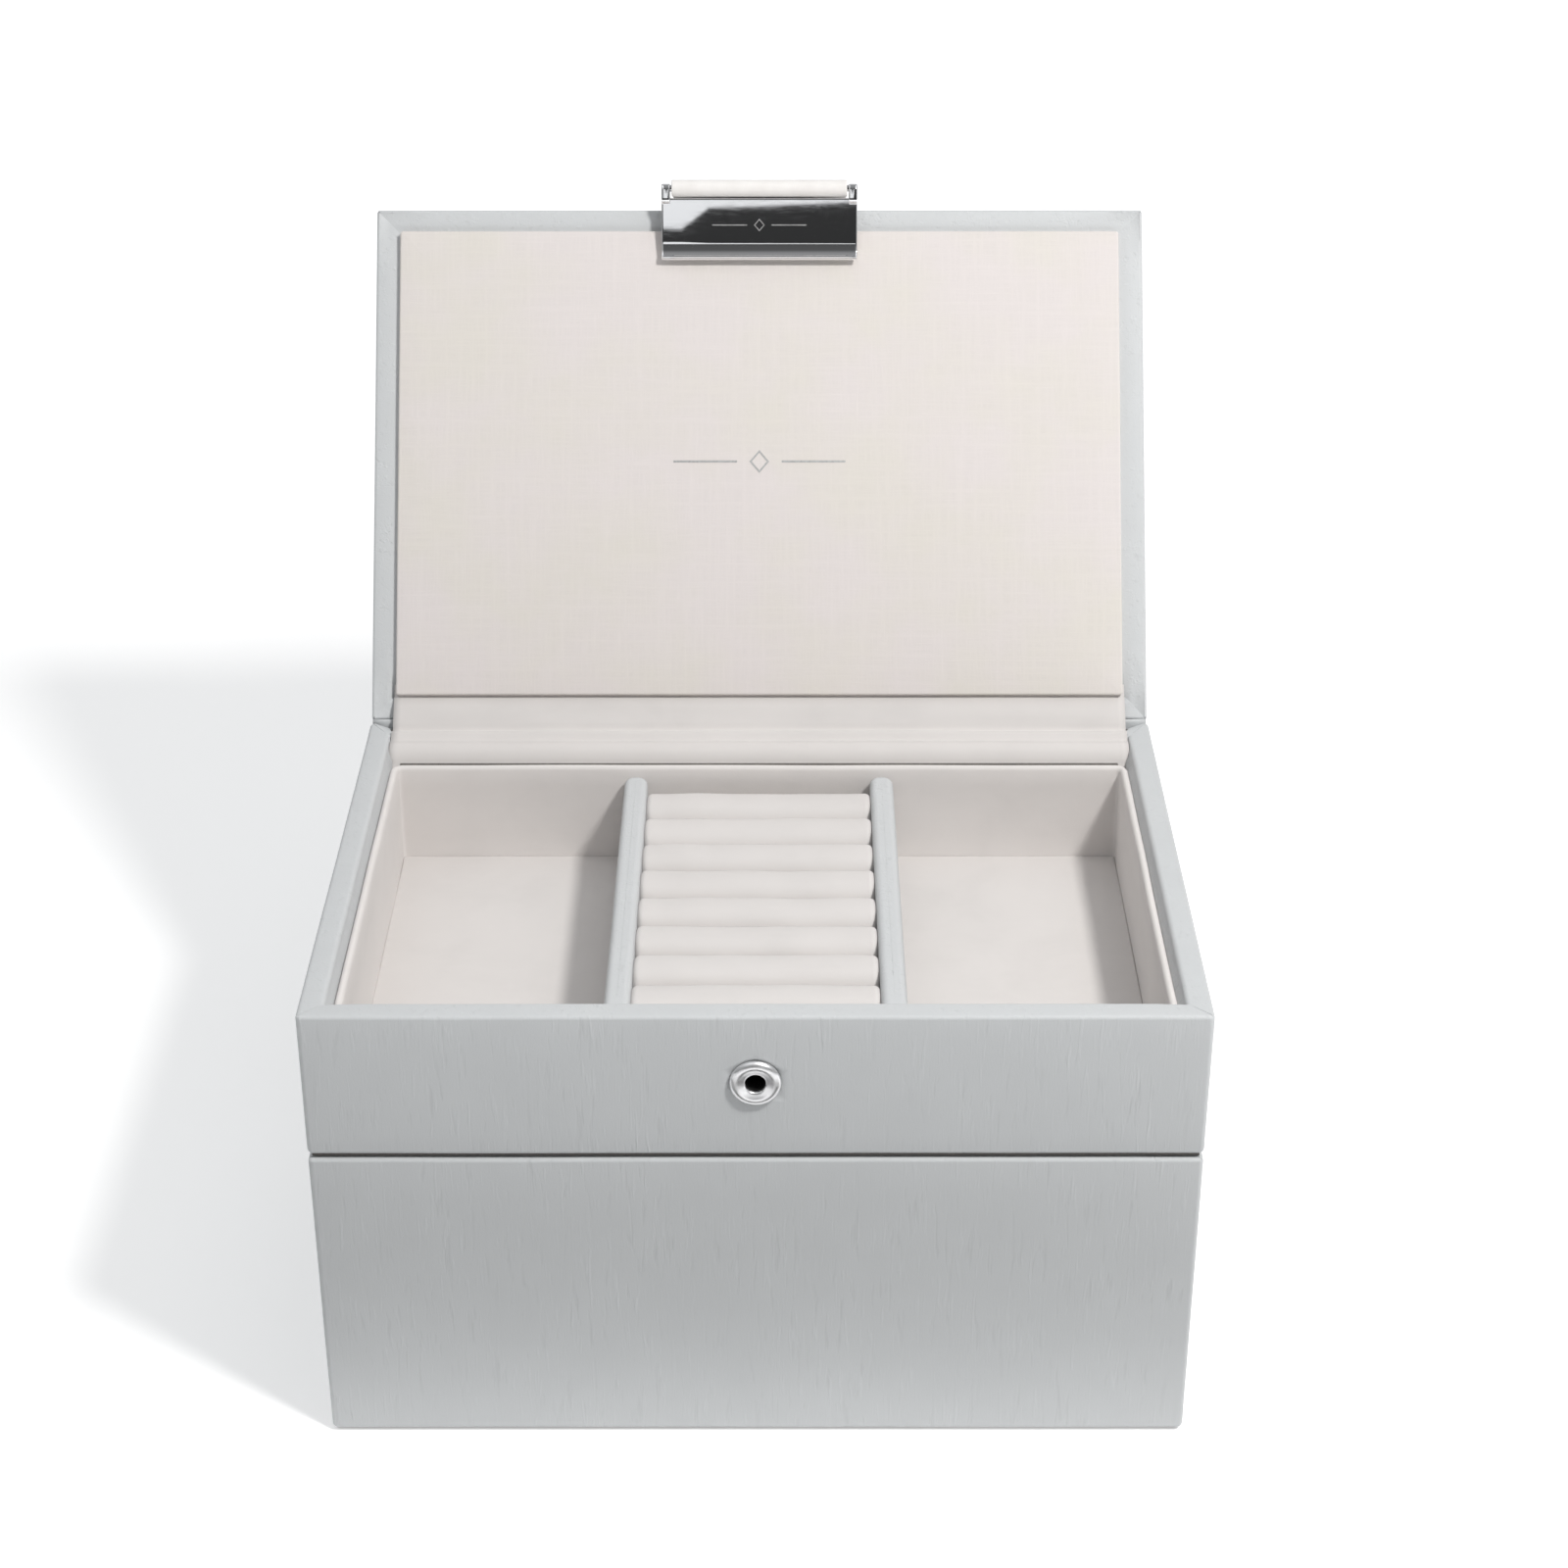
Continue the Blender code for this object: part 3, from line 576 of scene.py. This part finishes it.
def lid_wrap(material):
    """The lid's skin, drawn closed and then turned open."""
    top_z = LID_Z + LID_THICK
    edge_r = 0.75 * MM
    crown_r = 1.8 * MM
    profile = [(RIM + 3 * MM, LID_Z + 0.35 * MM), (RIM, LID_Z + 0.25 * MM), (RIM - 1 * MM, LID_Z + 0.12 * MM),
               (RIM - 2 * MM, LID_Z)]
    profile += arc((edge_r, LID_Z + edge_r), edge_r, 270, 180, 6)
    profile += [(0, LID_Z + 4 * MM), (0, LID_Z + 7 * MM)]
    profile += arc((crown_r, top_z - crown_r), crown_r, 180, 90, 7)
    crown = 0.7 * MM
    for inset in (4, 7, 11, 16, 23, 31, 40, 50, 57):
        rise = crown * math.sin(min(1.0, inset / 45) * RIGHT_ANGLE)
        profile.append((inset * MM, top_z + rise))
    half_y = REAR_Y - LID_INSET

    def shape(point, inset):
        place = point + wobble(point, 0.05 * MM, 30, 3.0)
        side = (HALF_X - LID_INSET - abs(point.x), half_y - abs(point.y))
        if point.z < LID_Z + 0.4 * MM and abs(side[0] - side[1]) < 0.12 * MM and min(side) > 0.3 * MM:
            place.z += 0.32 * MM
        if abs(point.x) < LINING_X + 0.3 * MM and point.y > half_y - 6.5 * MM and point.z < LID_Z + 3 * MM:
            if point.y < half_y - 0.3 * MM:
                place.z += 1.0 * MM
        elif point.y > half_y - 1 * MM and point.z < LID_Z + 1 * MM:
            place += Vector((0, 0.8 * REAR_REACH, -0.3 * REAR_REACH))
        return LID_TURN @ place

    wrap = lofted("lid_leather", HALF_X - LID_INSET, half_y, (0, 0), LID_CORNER_R, profile, shape)
    close_end(wrap)
    thicken(wrap, SKIN)
    return dress(wrap, material, "lid", "leatherette", "lid_wrap")


def close_end(piece):
    """Fill the last ring of a loft, in the middle of its flat face."""
    built = bmesh.new()
    built.from_mesh(piece.data)
    open_edges = [edge for edge in built.edges if edge.is_boundary]
    reach = {}
    for edge in open_edges:
        reach[edge] = max(abs(point.co.x) for point in edge.verts)
    inner = [edge for edge in open_edges if reach[edge] < HALF_X - 50 * MM]
    inner += [edge for edge in open_edges if edge not in inner and edge_in_middle(edge)]
    bmesh.ops.holes_fill(built, edges=list(set(inner)), sides=0)
    built.to_mesh(piece.data)
    built.free()


def edge_in_middle(edge):
    """Whether an edge lies on the lid's top face and not at the panel's recess."""
    closed = [LID_TURN.inverted() @ point.co for point in edge.verts]
    return all(point.z > LID_Z + LID_THICK - 1 * MM for point in closed)


# Slabs: pads, panel, dividers ---------------------------------------------------
def slab(name, half_x, half_y, low_z, high_z, edge_r, corner_r, crown=0.0, turn=None, rough=0.0, seed=0.0,
         inner=(0.12, 0.3, 0.55, 0.8)):
    """A soft-edged slab, crowned on top. turn places it."""
    steps = 6
    reach = min(half_x, half_y)
    profile = [(reach * share, low_z) for share in reversed((0.3, 0.97))]
    profile += arc((edge_r, low_z + edge_r), edge_r, 270, 180, steps)
    profile += arc((edge_r, high_z - edge_r), edge_r, 180, 90, steps)
    for share in (*inner, 0.97):
        inset = edge_r + (reach - edge_r) * share
        profile.append((inset, high_z + crown * math.sin(min(1.0, share * 1.6) * RIGHT_ANGLE)))

    def shape(point, inset):
        if rough:
            point = point + wobble(point, rough, 60, seed)
        return turn @ point if turn else point

    return lofted(name, half_x, half_y, (0, 0), corner_r, profile, shape, caps=True, smooth_angle=50)


def slab_for(name, node, edge_r, corner_r, crown=0.0, rough=0.0, seed=0.0, spread=0.0):
    """A slab in the place of an upright CAD node, spread to its neighbours."""
    low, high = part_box(node)
    centre = (low + high) / 2
    half = (high - low) / 2
    turn = Matrix.Translation(centre)
    return slab(name, half.x + spread, half.y + spread, -half.z, half.z - crown, edge_r, corner_r, crown,
                turn, rough, seed)


def divider(name, node, material):
    """Board wrapped in leatherette, with soft top edges and rounded ends."""
    piece = slab_for(name, node, 1.4 * MM, 2.4 * MM, rough=0.05 * MM, spread=0.22 * MM)
    return dress(piece, material, "top_tray", "leatherette", node)


def liner(name, node, body, material, seed, drop=0.0, rear_flat=False):
    """Velvet over card: an open box with a soft lip and slightly uneven walls."""
    low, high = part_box(node)
    high.z -= drop
    centre = (low + high) / 2
    half = (high - low) / 2
    floor_z = low.z + LINER_FLOOR
    rise = high.z - LINER / 2 - floor_z
    profile = [(half.y * 0.97, low.z), (0.4 * MM, low.z), (0, low.z + 0.4 * MM)]
    profile += [(0, floor_z + rise * share) for share in (0.3, 0.6, 0.8)]
    profile += [(inset * MM, high.z - below * MM) for inset, below in
                ((-0.1, 2.6), (-0.12, 1.0), (0.0, 0.5), (0.3, 0.14), (0.7, 0.0), (1.1, 0.1), (1.42, 0.4), (1.63, 0.9))]
    profile += [(LINER, floor_z + rise * share) for share in (0.85, 0.6, 0.35, 0.12)]
    profile += [(LINER + 0.6 * MM, floor_z), (LINER + 6 * MM, floor_z), (half.y * 0.97, floor_z)]

    def shape(point, inset):
        if rear_flat:
            point.y = min(point.y, high.y + 0.1 * MM)
        if 0 <= inset < half.y * 0.5 and point.z > floor_z:
            push = wobble(point, 0.22 * MM, 36, seed)
            push.z *= 0.6 if point.z > high.z - 2 * MM else 0.0
            return point + push
        return point

    piece = lofted(name, half.x, half.y, centre, 2.6 * MM, profile, shape, caps=True, smooth_angle=60)
    return dress(piece, material, body, "velvet", node)


# Ring rolls ---------------------------------------------------------------------
def ring_roll(index, material):
    """One sewn roll: a round-topped lobe, pulled in at both ends and a little uneven."""
    node = f"ring_roll_{index}"
    low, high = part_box(node)
    centre = (low + high) / 2
    half = (high - low) / 2
    end_r = 1.5 * MM
    reach = half.x + 0.25 * MM
    stations = [-1 + 2 * step / 60 for step in range(61)]
    edge = 1 - end_r / reach
    for step in range(6):
        share = edge + (1 - edge) * math.sin(RIGHT_ANGLE * step / 6)
        stations += [share, -share]
    rows = []
    for station in sorted(set(round(station, 5) for station in stations)):
        x = station * reach
        past = max(0.0, (abs(station) - edge) / (1 - edge))
        pull = 1 - 0.3 * (1 - math.sqrt(max(0.0, 1 - min(past, 0.999) ** 2)))
        row = []
        for step in range(36):
            angle = 2 * math.pi * step / 36
            across = math.copysign(abs(math.cos(angle)) ** 0.72, math.cos(angle)) * (half.y + 0.2 * MM) * pull
            up = math.copysign(abs(math.sin(angle)) ** 0.78, math.sin(angle)) * half.z
            if up > 0:
                up *= pull
            point = Vector((x, centre.y + across, centre.z + up))
            uneven = wobble((x, index * 7.3, 0), 0.30 * MM, 90, index)
            if up > 0:
                point.z += uneven.z * up / half.z
                point.y += uneven.y * up / half.z
            row.append(point)
        rows.append(row)
    roll = grid_object(f"velvet_roll_{index}", rows, ring=True, caps=True, smooth_angle=60)
    dress(roll, material, "top_tray", "velvet", node)


# Hinge lining and spine -----------------------------------------------------------
def lid_point(x, along, out):
    """A point on the open lid: along from the hinge edge, out from its underside."""
    return LID_TURN @ Vector((x, REAR_Y - along, LID_Z - out))


def smooth_path(points, steps):
    """A Catmull-Rom path through (y, z) points."""
    ends = [points[0] * 2 - points[1], *points, points[-1] * 2 - points[-2]]
    path = []
    for first, second, third, fourth in zip(ends, ends[1:], ends[2:], ends[3:]):
        for step in range(steps):
            t = step / steps
            path.append(0.5 * (2 * second + (third - first) * t
                               + (2 * first - 5 * second + 4 * third - fourth) * t ** 2
                               + (3 * second - 3 * third + fourth - first) * t ** 3))
    return path + [points[-1]]


def hinge_lining(material):
    """One strip of velvet from under the lid's panel, over the rear wall, to behind the liner."""
    tuck_y = LINER_BOX[1].y + 0.75 * MM
    sides = [lid_point(0, along * MM, out * MM).yz for along, out in
             ((8.0, -0.35), (6.2, -0.3), (4.6, 0.0), (2.7, 0.8), (1.0, 1.3))]
    sides += [Vector((REAR_Y + y * MM, RIM_Z + z * MM)) for y, z in
              ((-0.9, 0.8), (-2.5, -0.7), (-4.3, 0.1), (-6.4, -1.0), (-8.3, -0.7), (-10.0, -1.35),
               (-11.2, -2.6), (-12.2, -4.4))]
    sides += [Vector((tuck_y, RIM_Z - 6.2 * MM)), Vector((tuck_y, RIM_Z - 9.0 * MM))]
    path = smooth_path(sides, 9)
    columns = 96
    rows = []
    for index, place in enumerate(path):
        share = index / (len(path) - 1)
        loose = math.sin(math.pi * min(1.0, max(0.0, (share - 0.12) / 0.62)))
        row = []
        for column in range(columns + 1):
            x = LINING_X * (2 * column / columns - 1)
            fold = wobble((x * 0.14, place.x, place.y), 0.34 * MM, 240, 2.0)
            ripple = wobble((x, place.x * 0.6, place.y), 0.12 * MM, 120, 5.0)
            lift = loose * (fold.z + ripple.z)
            row.append(Vector((x, place.x - 0.5 * lift, place.y + 0.85 * lift)))
        rows.append(row)
    lining = grid_object("hinge_lining", rows, smooth_angle=80)
    thicken(lining, LINING, 0.0)
    lining.data.materials.append(material)
    bake_modifiers(lining)
    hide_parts("hinge_lining_tray", "hinge_lining_lid")
    length = sum((after - before).length for before, after in zip(path, path[1:]))
    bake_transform(lining)


def bake_modifiers(piece):
    """Turn a piece's modifiers into its mesh."""
    graph = bpy.context.evaluated_depsgraph_get()
    mesh = bpy.data.meshes.new_from_object(piece.evaluated_get(graph))
    piece.modifiers.clear()
    piece.data = mesh
    return piece


def hinge_spine(material):
    """The leatherette strip that joins the backs of the tray and the lid."""
    run = 9.5 * MM
    rear = HINGE.y
    lid_end = LID_TURN @ Vector((0, rear, HINGE.z + run))
    lid_near = LID_TURN @ Vector((0, rear, HINGE.z + 2.2 * MM))
    sides = [Vector((rear, HINGE.z - run)), Vector((rear, HINGE.z - 5.0 * MM)),
             Vector((rear + 0.1 * MM, HINGE.z - 2.2 * MM)),
             Vector((HINGE.y + 0.3 * MM, HINGE.z + 0.1 * MM)), lid_near.yz, lid_end.yz]
    path = smooth_path([Vector(side) for side in sides], 7)
    rows = [[Vector((SPINE_X * (2 * column / 60 - 1), place.x, place.y)) for column in range(61)]
            for place in path]
    spine = grid_object("hinge_spine", rows, smooth_angle=80)
    thicken(spine, 0.6 * MM, 0.0)
    bake_modifiers(spine)
    spine.data.materials.append(material)
    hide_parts("hinge_spine_tray", "hinge_spine_lid")
    length = sum((after - before).length for before, after in zip(path, path[1:]))
    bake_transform(spine)


# Lid panel ------------------------------------------------------------------------
def lid_panel(material, foil):
    """Card wrapped in linen, and the plain ornament pressed into it."""
    low, high = Vector((-84.1 * MM, FRONT_Y + 5.6 * MM, 0)), Vector((84.1 * MM, REAR_Y - 5.5 * MM, 0))
    centre = (low + high) / 2
    half = (high - low) / 2
    face = LID_TURN @ Matrix.Translation((0, centre.y, LID_Z)) @ Matrix.Rotation(math.pi, 4, "X")
    panel = slab("linen_panel", half.x, half.y, -0.6 * MM, 1.6 * MM, 0.5 * MM, 0.7 * MM, 0.1 * MM,
                 face, 0.03 * MM)
    dress(panel, material, "lid", "linen", "lid_inner_panel")
    ornament("panel_ornament", "lid", face @ Matrix.Translation((0, 0, 1.66 * MM)), foil)


def ornament(name, body, place, material, size=1.0):
    """A small lozenge between two rules, in thin foil."""
    built = bmesh.new()
    thin = 0.1 * MM
    half_x, half_y = 2.3 * MM * size, 2.7 * MM * size
    outer = [(half_x, 0), (0, half_y), (-half_x, 0), (0, -half_y)]
    inner = [(x * 0.76, y * 0.76) for x, y in outer]
    for index in range(4):
        after = (index + 1) % 4
        prism(built, [outer[index], outer[after], inner[after], inner[index]], thin)
    rule = 0.25 * MM * size
    for side in (-1, 1):
        near, far = sorted((side * 5.2 * MM * size, side * 20 * MM * size))
        prism(built, [(near, -rule), (far, -rule), (far, rule), (near, rule)], thin)
    mark = finish_mesh(name, built, 30)
    mark.data.transform(place)
    dress(mark, material, body, "chrome")


def prism(built, corners, height):
    low = [built.verts.new((x, y, 0)) for x, y in corners]
    high = [built.verts.new((x, y, height)) for x, y in corners]
    built.faces.new(low[::-1])
    built.faces.new(high)
    for index in range(len(corners)):
        after = (index + 1) % len(corners)
        built.faces.new((low[index], low[after], high[after], high[index]))


def lid_padding(material):
    """The foam between the lid's boards."""
    half_x, half_y = HALF_X - 4.7 * MM - LID_INSET, REAR_Y - 4.7 * MM - LID_INSET
    place = LID_TURN @ Matrix.Translation((0, 0, LID_Z))
    pad = slab("foam_in_lid", half_x, half_y, 3.6 * MM, 8.2 * MM, 0.8 * MM, 1.5 * MM, 0.2 * MM, place, 0.1 * MM, 8.0)
    dress(pad, material, "lid", "foam", "lid_foam")


def base_felt(material):
    """The felt that the case stands on."""
    felt_layer = slab_for("felt_base", "lower_base_felt", 0.5 * MM, 1.0 * MM)
    dress(felt_layer, material, "deep_tray", "felt", "lower_base_felt")


# Clasp ------------------------------------------------------------------------------
def sheet_rows(path, half_x, columns, hem=0.45 * MM):
    """Rows across a strip, with a narrow column along each side that keeps its edges crisp."""
    inner = half_x - hem
    places = [-half_x, *(inner * (2 * column / columns - 1) for column in range(columns + 1)), half_x]
    return [[Vector((x, y, z)) for x in places] for y, z in path]


def clasp_strap(material):
    """The strap out of the lid's edge, once round the bar and back along itself."""
    closed_slot = LID_TURN.inverted() @ SLOT
    closed_bar = LID_TURN.inverted() @ BAR
    to_bar = (closed_bar - closed_slot).yz
    mid_r = BAR_R + LOOP_CLEARANCE + STRAP / 2
    end = Vector((to_bar.x - mid_r, to_bar.y))
    start = Vector((-0.3 * MM, 0))
    out = Vector((end.x, 0))
    down = Vector((end.x * 1.08, end.y * 0.45))
    path = []
    for step in range(25):
        t = step / 24
        point = ((1 - t) ** 3 * start + 3 * (1 - t) ** 2 * t * out
                 + 3 * (1 - t) * t ** 2 * down + t ** 3 * end)
        path.append((point.x, point.y))
    path += arc(to_bar, mid_r, 180, 180 + 300, 26)[1:]
    turn = LID_TURN @ Matrix.Translation(closed_slot)
    rows = [[turn @ point for point in row] for row in sheet_rows(path, STRAP_X, 24)]
    strap = grid_object("leather_strap", rows, smooth_angle=80)
    thicken(strap, STRAP, 0.0)
    rounding = strap.modifiers.new("edges", "BEVEL")
    rounding.width = 0.22 * MM
    rounding.segments = 3
    rounding.limit_method = "ANGLE"
    rounding.angle_limit = math.radians(60)
    return dress(strap, material, "strap", "strap_leather", "clasp_strap")


def clasp_plate(material, etching):
    """The plate with its finger lip, and ears that hold the bar."""
    back = PLATE_SET_BACK
    foot = -PLATE_TOP - PLATE_FACE
    path = [(back, -PLATE_TOP), (back, -PLATE_TOP - 0.45 * MM)]
    path += [(back, -PLATE_TOP - PLATE_FACE * step / 6) for step in range(1, 7)]
    path += arc((back - LIP_R, foot), LIP_R, 0, -LIP_TURN, 8)[1:]
    rows = [[PLATE_TURN @ point for point in row] for row in sheet_rows(path, PLATE_X, 20)]
    plate = grid_object("chrome_plate", rows, smooth_angle=80)
    thicken(plate, PLATE, 0.0)
    round_edges(plate, 0.3 * MM)
    dress(plate, material, "clasp_plate", "chrome", "clasp_plate")
    face = PLATE_TURN @ Matrix.Translation((0, back - PLATE / 2, -PLATE_TOP - 0.52 * PLATE_FACE))
    ornament("plate_ornament", "clasp_plate", face @ Matrix.Rotation(RIGHT_ANGLE, 4, "X"), etching, 0.55)
    for side, word in ((-1, "left"), (1, "right")):
        centre_x = side * (PLATE_X - EAR / 2)
        stand = (PLATE_TURN @ Matrix.Translation((centre_x, 0, (EAR_RISE - PLATE_TOP - 1.5 * MM) / 2))
                 @ Matrix.Rotation(RIGHT_ANGLE, 4, "Y"))
        height = (EAR_RISE + PLATE_TOP + 1.5 * MM) / 2
        ear = slab("plate_ear_" + word, height, 1.4 * MM, -EAR / 2, EAR / 2, 0.3 * MM, 1.3 * MM, 0, stand,
                   inner=(0.5,))
        dress(ear, material, "clasp_plate", "chrome")


def round_edges(piece, width):
    rounding = piece.modifiers.new("edges", "BEVEL")
    rounding.width = width
    rounding.segments = 3
    rounding.limit_method = "ANGLE"
    rounding.angle_limit = math.radians(50)


def popper_ring(material):
    """The press stud's ring: a rolled outer edge, dished in to its hole."""
    low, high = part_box("popper_ring")
    centre = (low + high) / 2
    profile = [(5.15, 0.0), (5.15, 0.35), (5.0, 0.62), (4.65, 0.9), (4.2, 1.1), (3.75, 1.15), (3.35, 1.0),
               (2.95, 0.85), (2.6, 0.75), (2.3, 0.66), (2.15, 0.55), (2.05, 0.3), (2.05, -0.1), (2.05, 0.0)]
    rows = []
    for radius, depth in profile[:-1]:
        row = []
        for step in range(96):
            angle = 2 * math.pi * step / 96
            row.append(Vector((centre.x + radius * MM * math.cos(angle), high.y - depth * MM,
                               centre.z + radius * MM * math.sin(angle))))
        rows.append(row)
    rows.append(rows[0])
    ring = grid_object("chrome_ring", rows, ring=True, smooth_angle=60)
    dress(ring, material, "top_tray", "chrome", "popper_ring")


def repaint(material, *nodes):
    """Give CAD nodes that stay a better material."""
    for node in nodes:
        piece = frame["nodes"][node]
        piece.data.materials.clear()
        piece.data.materials.append(material)


# Everything, in the order it is made ----------------------------------------------
make_camera()
make_key()
make_world()
make_floor()

grain = leatherette("leatherette_walls")
lid_grain = leatherette("leatherette_lid", LID_OPEN)
pile = velvet("velvet_lining")
# A copy of the velvet painted a little darker for the ring rolls: painted shade, for how the rolls take the light.
shaded_roll_pile = velvet("velvet_rolls_painted_darker", (0.650, 0.625, 0.611))
weave = linen("linen_cover", LID_OPEN)
polished = chrome("chrome_plate")
pale_leather = strap_leather("strap_leather")
foil_paint = speckled("foil", 0.36, 0.50, 0.45)
etched = speckled("etched_chrome", 0.20, 0.34, 0.6)

tray_wrap("deep_tray_leather", LOW_BOX, "lower_wrap", "deep_tray", grain)
top_leather = tray_wrap("top_tray_leather", TOP_BOX, "upper_wrap", "top_tray", grain, hinge_step=2.1 * MM,
                        bulge=0.95 * MM)
ring_low, ring_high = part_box("popper_ring")
bore(top_leather, (ring_low + ring_high) / 2, 3.3 * MM)
lid_wrap(lid_grain)
# A copy of the velvet painted 9% lighter for the top tray's liner walls: painted light, for light the walls should
# catch.
lit_wall_pile = velvet("velvet_walls_painted_lighter", shade(VELVET, 1.09))
liner("velvet_liner_top", "upper_liner", "top_tray", lit_wall_pile, 1.0, drop=0.75 * MM, rear_flat=True)
liner("velvet_liner_deep", "lower_liner", "deep_tray", pile, 4.0)
divider("divider_wrap_left", "divider_left", grain)
divider("divider_wrap_right", "divider_right", grain)
for word in ("left", "right"):
    pad = slab_for("velvet_pad_" + word, "floor_pad_" + word, 0.5 * MM, 0.8 * MM, 0.35 * MM, 0.12 * MM,
                   spread=0.35 * MM)
    dress(pad, pile, "top_tray", "velvet", "floor_pad_" + word)
deep_pad = slab_for("velvet_pad_deep", "lower_floor_pad", 0.5 * MM, 0.8 * MM, 0.5 * MM, 0.15 * MM, spread=0.35 * MM)
dress(deep_pad, pile, "deep_tray", "velvet", "lower_floor_pad")
for number in range(1, 9):
    ring_roll(number, shaded_roll_pile)
hinge_lining(pile)
hinge_spine(grain)
lid_panel(weave, foil_paint.material)
clasp_strap(pale_leather)
clasp_plate(polished, etched.material)
popper_ring(chrome("chrome_popper", 0.3, 0.4))
repaint(polished, "popper_washer", "clasp_bar", "clasp_stud")
# The socket at the bottom of the ring's hole is painted near black: painted shade for the hole.
repaint(speckled("socket_painted_near_black", 0.015, 0.035, 0.5).material, "popper_socket")
# The boards are painted dark: painted shade for where they show in the seam gap between the trays.
repaint(board("board"), "lower_frame", "upper_frame", "lower_base_board", "upper_base_board", "upper_plinth",
        "rear_spacer", "lid_frame", "lid_top_board", "lid_panel_board")
sponge = foam("foam")
ring_base = slab_for("foam_under_rolls", "ring_pad_base", 0.8 * MM, 1.2 * MM, 0.2 * MM, 0.1 * MM, 7.0)
dress(ring_base, sponge, "top_tray", "foam", "ring_pad_base")
lid_padding(sponge)
base_felt(felt("felt"))
repaint(pale_leather, "strap_tail")
